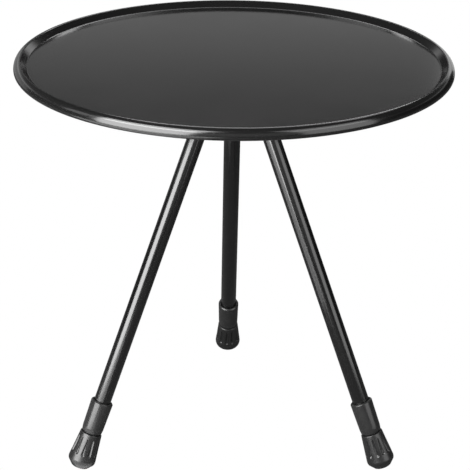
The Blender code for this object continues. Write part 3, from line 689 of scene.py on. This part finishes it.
# Clamp knob: a six-lobed knob of dark grey nylon, moulded on the screw. Its lobes have
# the fine spark texture of the mould, which keeps the sheen soft.
def lobed_knob(reach, bore, low, high):
    """The rule of a knob with lobes, rounded edges and a shallow dish in its lower face."""

    def rule(angle):
        dip = knob_lobe_depth * (1 - math.cos(knob_lobes * angle)) / 2
        side = reach - dip
        return rounded([(bore, low + knob_dish), (side * knob_dish_share, low + knob_dish),
                        (side * knob_land_share, low), (side - knob_draft, low),
                        (side, high), (bore, high)], knob_edge, closed=True)

    return rule


knob_lobes = 6
knob_lobe_depth = 0.0016
knob_edge = 0.0012
knob_draft = 0.0003
knob_dish = 0.0008
knob_dish_share = 0.62
knob_land_share = 0.72
mould_texture = 0.0009
mould_texture_depth = 0.000002
mould_flow = 0.007

# Moulded nylon copies its mould: an even satin with a fine texture and faint flow marks. The
# texture of the mould is finer, and drawn this coarse so that it shows.
nylon = surface("moulded_grey_nylon", "#1f1f1f", 0.22, (mould_texture, mould_texture_depth),
                (mould_flow, 0.08), {"IOR": 1.53, "Specular IOR Level": 0.34})
knob = spun("clamping_knob", lobed_knob(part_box("clamp_knob")[1].x, washer_bore,
                                        *between("clamp_knob")), 144, nylon, closed=True)
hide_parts("clamp_knob")
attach(knob, "clamp_body")


# Knuckles: a die-cast eye on each hinge bolt, with a heel that stops the leg at its splay
# and a shank that plugs the top of the leg tube.
def leg_place(leg):
    """Where a leg stands: its pivot, with +Y along the hinge bolt and -Z down the tube."""
    joints = {joint["name"]: joint for joint in frame["joints"]}
    across = Vector(joints["fold_" + leg]["axis"]).normalized()
    up = -Vector(joints["extend_" + leg]["axis"]).normalized()
    turn = Matrix((across.cross(up), across, up)).transposed().to_4x4()
    return Matrix.Translation(joints["fold_" + leg]["pos_m"]) @ turn


def along_leg(node, axis=2):
    """The lowest and the highest place of a CAD node along an axis of its leg."""
    back = leg_places[first_leg].inverted()
    places = [(back @ corner.co)[axis]
              for corner in frame["nodes"][f"{node}_{first_leg}"].data.vertices]
    return min(places), max(places)


def on_each_leg(piece, node, body, materials=None):
    """Copies of a piece made in leg coordinates, one for each leg, riding on its body."""
    for leg, place in leg_places.items():
        mesh = piece.data.copy()
        mesh.transform(place)
        if materials:
            mesh.materials.clear()
            mesh.materials.append(materials[leg])
        twin = bpy.data.objects.new(f"{piece.name}_{leg}", mesh)
        bpy.context.scene.collection.objects.link(twin)
        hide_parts(f"{node}_{leg}")
        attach(twin, body if body == "hub_body" else f"{body}_{leg}")
    bpy.data.objects.remove(piece)


first_leg = "front_left"
leg_places = {leg: leg_place(leg) for leg in (first_leg, "front_right", "back")}
knuckle_voxel = 0.0004

on_each_leg(cast("leg_knuckle", f"knuckle_{first_leg}", knuckle_voxel, cast_rounds, casting,
                 leg_places[first_leg]), "knuckle", "leg")


# Hinge bolts and nuts: a plated M5 button-head bolt through each fork and eye, with its
# hexagon socket to one side and a nut on the other.
def button_bolt(radius, head_radius, under, top, tip):
    """The rule of a button-head bolt along Z, with its head up and a hexagon socket in it."""

    def rule(angle):
        socket = hexagon(bolt_socket_radius, angle)
        profile = [(0, tip), (radius - bolt_end, tip), (radius, tip + bolt_end), (radius, under),
                   (head_radius, under), (head_radius, under + bolt_head_band)]
        for step in range(1, 7):
            share = step / 6
            dome = math.sin(share * math.pi / 2)
            profile.append((head_radius
                            + (bolt_dome_radius - head_radius) * share ** bolt_dome_curve,
                            under + bolt_head_band + (top - under - bolt_head_band) * dome))
        return profile + [(socket, top), (socket, top - bolt_socket_depth),
                          (0, top - bolt_socket_depth - bolt_end)]

    return rule


bolt_radius = 0.0025
bolt_end = 0.0005
bolt_head_radius = 0.0044
bolt_head_height = 0.0028
bolt_head_band = 0.0005
bolt_dome_radius = 0.0024
bolt_dome_curve = 1.5
bolt_socket_radius = 0.0015
bolt_socket_depth = 0.0016
pivot_nut_radius = 0.0046
across_leg = Matrix.Rotation(math.pi / 2, 4, "X")

head_side, tip_side = (-place for place in along_leg("hinge_bolt", axis=1))
nut_sides = along_leg("hinge_nut", axis=1)
bolt_under = head_side - bolt_head_height
bolt = spun("pivot_bolt", button_bolt(bolt_radius, bolt_head_radius, bolt_under, head_side,
                                      tip_side), 48, zinc)
bolt.data.transform(across_leg)
on_each_leg(bolt, "hinge_bolt", "hub_body")
nut = spun("pivot_nut", hexagon_nut(pivot_nut_radius, stud_bore, -nut_sides[1], -nut_sides[0]),
           48, zinc, closed=True)
nut.data.transform(across_leg)
on_each_leg(nut, "hinge_nut", "hub_body")


# Leg tubes: drawn 16 mm aluminium tube, anodised gloss black. Drawing and anodising leave
# faint streaks along the tube, which break up the long bright reflection a little.
def leg_streaks(leg):
    """The mapping that lays a pattern along a leg and stretches it lengthwise."""
    place, turn, _ = leg_places[leg].decompose()
    return {"Location": place, "Rotation": turn.to_euler(), "Scale": (1, 1, streak_stretch)}


def drill(piece, radius, reach, height):
    """Cuts a round hole across a leg piece, along the hinge bolt's direction."""
    bar = turned("drill", [(0, -reach), (radius, -reach), (radius, reach), (0, reach)], None,
                 steps=32)
    bar.data.transform(Matrix.Translation((0, 0, height)) @ across_leg)
    cut = piece.modifiers.new("hole", "BOOLEAN")
    cut.object = bar
    drilled = plain_mesh(piece)
    bpy.data.objects.remove(bar)
    return drilled


tube_radius = 0.0080
tube_wall = 0.0010
tube_edge = 0.0002
rivet_hole_radius = 0.0018
streak = 0.0007
streak_depth = 0.0000003
streak_stretch = 60.0
streak_patch = 0.0016

# Black anodising is a glassy layer over bright drawn metal: deep black, with a sharp gloss.
# The drawing lines are finer, and drawn this coarse so that they show.
tube_black = {leg: surface(f"black_anodised_tube_{leg}", "#0a0a0a", 0.18, (streak, streak_depth),
                           (streak_patch, 0.06), {"IOR": 1.6}, leg_streaks(leg))
              for leg in leg_places}
tube_low, tube_high = along_leg("outer_tube")
rivet_height = sum(along_leg("rivet")) / 2
tube_profile = [(tube_radius - tube_wall, tube_high), (tube_radius, tube_high),
                (tube_radius, tube_low), (tube_radius - tube_wall, tube_low)]
tube = turned("leg_tube", rounded(tube_profile, tube_edge, closed=True), tube_black[first_leg],
              closed=True)
tube = drill(tube, rivet_hole_radius, 2 * tube_radius, rivet_height)
on_each_leg(tube, "outer_tube", "leg", tube_black)


# Rivets: one plated steel rivet across each leg holds the tube on its knuckle. Both of its
# ends are pressed into low domed heads.
rivet_radius = 0.0015
rivet_head_radius = 0.0026
rivet_play = 0.0003
rivet_reach = along_leg("rivet", axis=1)[1]
rivet_under = tube_radius + rivet_play
rivet_half = arc((0, rivet_under), (rivet_head_radius, rivet_reach - rivet_under), 90, 0, 8)
rivet_half.append((rivet_radius, rivet_under))
rivet_profile = rivet_half + [(radius, -height) for radius, height in reversed(rivet_half)]
rivet = turned("tube_rivet", rivet_profile, zinc, steps=32)
rivet.data.transform(Matrix.Translation((0, 0, rivet_height)) @ across_leg)
on_each_leg(rivet, "rivet", "leg")


# Inner tubes: thinner aluminium tube, clear anodised, which slides out of each leg. It keeps
# the metal's own pale colour, with drawing lines along it.
inner_radius = 0.0063
inner_wall = 0.0009

# Clear anodising leaves the drawn metal pale and silky, with its lines and faint dull patches
tube_bare = {leg: surface(f"clear_anodised_tube_{leg}", "#c2c3c6", 0.30,
                          (streak, streak_depth), (streak_patch, 0.08), {"Metallic": 1.0},
                          leg_streaks(leg)) for leg in leg_places}
inner_low, inner_high = along_leg("inner_tube")
inner_profile = [(inner_radius - inner_wall, inner_high), (inner_radius, inner_high),
                 (inner_radius, inner_low), (inner_radius - inner_wall, inner_low)]
inner = turned("sliding_tube", rounded(inner_profile, tube_edge, closed=True),
               tube_bare[first_leg], closed=True)
on_each_leg(inner, "inner_tube", "inner", tube_bare)


# Guide bushes: black acetal plugs in the top of each inner tube, ribbed so that they glide
# in the outer tube.
bush_radius = 0.0067
bush_shank_radius = 0.0051
bush_head_length = 0.0080
bush_rib = 0.0006
bush_ribs = 4
bush_edge = 0.0005
bush_rib_edge = 0.0002

# Acetal is slippery and hard, and comes from the mould with a waxy, even sheen
acetal = surface("black_acetal", "#161616", 0.42, (mould_texture, mould_texture_depth),
                 (mould_flow, 0.08), {"IOR": 1.48})
bush_low, bush_high = along_leg("guide_bush")
bush_profile = [(0, bush_high), (bush_radius - bush_edge, bush_high),
                (bush_radius, bush_high - bush_edge)]
for number in range(1, bush_ribs):
    middle = bush_high - bush_head_length * number / bush_ribs
    bush_profile += [(bush_radius, middle + bush_rib), (bush_radius - bush_rib, middle),
                     (bush_radius, middle - bush_rib)]
bush_profile += [(bush_radius, bush_high - bush_head_length),
                 (bush_shank_radius, bush_high - bush_head_length),
                 (bush_shank_radius, bush_low), (0, bush_low)]
bush = turned("tube_bush", rounded(bush_profile, bush_rib_edge), acetal, steps=64)
on_each_leg(bush, "guide_bush", "inner")


# Lock sleeves: nylon sleeves fixed on the ends of the leg tubes. Only the thin ring at the
# top of each collar shows.
sleeve_bore = 0.0083
sleeve_radius = 0.0090
sleeve_lip = 0.0015
sleeve_edge = 0.00015
inner_fit = 0.0066
sleeve_low, sleeve_high = along_leg("lock_sleeve")
sleeve_profile = [(sleeve_bore, sleeve_high), (sleeve_radius, sleeve_high),
                  (sleeve_radius, sleeve_low), (inner_fit, sleeve_low),
                  (inner_fit, sleeve_low + sleeve_lip), (sleeve_bore, sleeve_low + sleeve_lip)]
sleeve = turned("tube_sleeve", rounded(sleeve_profile, sleeve_edge, closed=True), nylon,
                closed=True)
on_each_leg(sleeve, "lock_sleeve", "leg")


# Lock jaws: split acetal rings that the collars squeeze on the inner tubes. They sit
# inside the collars, with one slot through the ring.
jaw_radius = 0.0090
jaw_end_radius = 0.0078
jaw_edge = 0.0002
jaw_slot_angle = math.radians(9)
jaw_low, jaw_high = along_leg("lock_jaw")


def split_ring(angle):
    """The jaw's profile, the same at every angle, because its slot is cut afterwards."""
    return rounded([(inner_fit, jaw_high), (jaw_radius, jaw_high), (jaw_end_radius, jaw_low),
                    (inner_fit, jaw_low)], jaw_edge, closed=True)


jaw = spun("squeeze_jaw", split_ring, 80, acetal, closed=True)
slot_shape = bmesh.new()
slot_shape.from_mesh(jaw.data)
slot_faces = [face for face in slot_shape.faces
              if face.calc_center_median().x > 0
              and abs(math.atan2(face.calc_center_median().y, face.calc_center_median().x))
              < jaw_slot_angle / 2]
bmesh.ops.delete(slot_shape, geom=slot_faces, context="FACES")
bmesh.ops.holes_fill(slot_shape, edges=[edge for edge in slot_shape.edges if edge.is_boundary])
bmesh.ops.recalc_face_normals(slot_shape, faces=slot_shape.faces)
slot_shape.to_mesh(jaw.data)
slot_shape.free()
on_each_leg(jaw, "lock_jaw", "leg")


# Lock collars: dark grey nylon rings with a chamfered top, a slight taper and a neck that
# leaves a dark seam above the foot. Turning one frees the leg.
collar_top_radius = 0.0106
collar_low_radius = 0.0101
collar_chamfer = 0.0010
collar_taper_length = 0.0040
collar_taper_radius = 0.0096
collar_neck_length = 0.0010
collar_neck_radius = 0.0086
collar_bore = 0.0093
collar_lip_bore = 0.0083
collar_lip = 0.0009
collar_edge = 0.00035
collar_jaw_play = 0.0003
collar_low, collar_high = along_leg("lock_collar")
neck_top = collar_low + collar_neck_length
collar_profile = [(collar_bore, collar_high - collar_lip),
                  (collar_lip_bore, collar_high - collar_lip), (collar_lip_bore, collar_high),
                  (collar_top_radius - collar_chamfer, collar_high),
                  (collar_top_radius, collar_high - collar_chamfer),
                  (collar_low_radius, neck_top + collar_taper_length),
                  (collar_taper_radius, neck_top), (collar_neck_radius, neck_top),
                  (collar_neck_radius, collar_low), (inner_fit, collar_low),
                  (inner_fit, jaw_low - collar_jaw_play),
                  (jaw_end_radius + collar_jaw_play, jaw_low - collar_jaw_play),
                  (collar_bore, jaw_high)]
collar = turned("lock_ring", rounded(collar_profile, collar_edge, closed=True), nylon,
                closed=True, steps=128)
on_each_leg(collar, "lock_collar", "collar")


# Feet: moulded rubber cups pushed on the inner tubes. Each flares downwards, is slanted in
# to a rounded sole, and has twelve drop-shaped grooves, narrow at the top and round below.
def drop_distance(across, down, length, top_radius, end_radius):
    """How far a point lies outside a drop that is narrow at the top and wide at its end."""
    lean = (top_radius - end_radius) / length
    side = math.sqrt(1 - lean * lean)
    along = down * side - across * lean
    if along < 0:
        return math.hypot(across, down) - top_radius
    if along > side * length:
        return math.hypot(across, down - length) - end_radius
    return across * side + down * lean - top_radius


foot_lip_radius = 0.0104
foot_lip_edge = 0.0008
foot_radius = 0.0132
foot_edge_radius = 0.0090
foot_edge_steps = 24
foot_slant_start = 5
foot_slant_end = 17
foot_cone_steps = 64
foot_socket_depth = 0.0240
groove_count = 12
groove_top = 0.0050
groove_length = 0.0150
groove_top_radius = 0.0007
groove_end_radius = 0.0018
groove_depth = 0.0012
groove_turn = math.radians(-7)
sole_radius = foot_radius - foot_edge_radius
rubber_skin = 0.0008
rubber_skin_depth = 0.0000012
rubber_bloom = 0.005

# Rubber comes from a polished mould and blooms a little: dark, soft-edged gloss in patches.
# Its skin is finer, and drawn this coarse so that it shows.
rubber = surface("moulded_rubber", "#151515", 0.34, (rubber_skin, rubber_skin_depth),
                 (rubber_bloom, 0.08), {"IOR": 1.52})
foot_low, foot_high = along_leg("rubber_foot")
cone_top = foot_high - foot_lip_edge
cone_end = foot_low + foot_edge_radius
foot_profile = [(0, foot_high - foot_socket_depth), (inner_fit, foot_high - foot_socket_depth),
                (inner_fit, foot_high)]
foot_profile += arc((foot_lip_radius - foot_lip_edge, cone_top), (foot_lip_edge, foot_lip_edge),
                    90, 0, 6)
for step in range(1, foot_cone_steps):
    share = step / foot_cone_steps
    foot_profile.append((foot_lip_radius + (foot_radius - foot_lip_radius) * share,
                         cone_top + (cone_end - cone_top) * share))
foot_edge = arc((sole_radius, cone_end), (foot_edge_radius, foot_edge_radius), 0, -90,
                foot_edge_steps)
slant_start, slant_end = (Vector(foot_edge[step]) for step in (foot_slant_start, foot_slant_end))
foot_slant = [tuple(slant_start.lerp(slant_end, share)) for share in (0.05, 0.3, 0.7, 0.95)]
foot_profile += foot_edge[:foot_slant_start] + foot_slant + foot_edge[foot_slant_end + 1:]
foot_profile.append((0, foot_low))

# Places across half of one groove's sector: the groove itself ends at 0.5
columns = (0, 0.1, 0.2, 0.3, 0.39, 0.46, 0.5, 0.52, 0.62, 0.72, 0.86, 1.0)
columns = [-share for share in reversed(columns[1:])] + list(columns)
half_sector = math.pi / groove_count
points, faces = [], []
for radius, height in foot_profile:
    down = foot_high - height - groove_top
    rib = min(max(down / groove_length, 0), 1)
    groove_half = groove_top_radius + (groove_end_radius - groove_top_radius) * rib
    split = groove_half / max(radius * half_sector, groove_end_radius)
    for share in columns:
        spread = abs(share) * 2 * split if abs(share) <= 0.5 else \
            split + (abs(share) - 0.5) * 2 * (1 - split)
        angle = math.copysign(spread, share) * half_sector
        depth = 0
        if radius > foot_lip_radius and height < cone_top:
            gap = drop_distance(abs(angle) * radius, down, groove_length, groove_top_radius,
                                groove_end_radius)
            inside = min(max(-gap / groove_end_radius, 0), 1)
            depth = groove_depth * inside * (2 - inside)
        points.append(((radius - depth) * math.cos(angle), (radius - depth) * math.sin(angle),
                       height))
for row in range(len(foot_profile) - 1):
    for column in range(len(columns) - 1):
        here = row * len(columns) + column
        faces.append((here, here + 1, here + len(columns) + 1, here + len(columns)))
mesh = bpy.data.meshes.new("foot_sector")
mesh.from_pydata(points, [], faces)
sector = bpy.data.objects.new("grooved_foot", mesh)
bpy.context.scene.collection.objects.link(sector)
foot = in_a_ring(sector, groove_count, 0.0, rubber)
foot.data.transform(Matrix.Rotation(groove_turn, 4, "Z"))
on_each_leg(foot, "rubber_foot", "inner")


# Foot washers: plated discs in the bottom of each socket, which keep the tube's end from
# cutting the rubber. Nothing shows of them, so they keep the CAD's shape.
for leg in leg_places:
    disc = frame["nodes"][f"foot_washer_{leg}"].data
    disc.materials.clear()
    disc.materials.append(zinc)
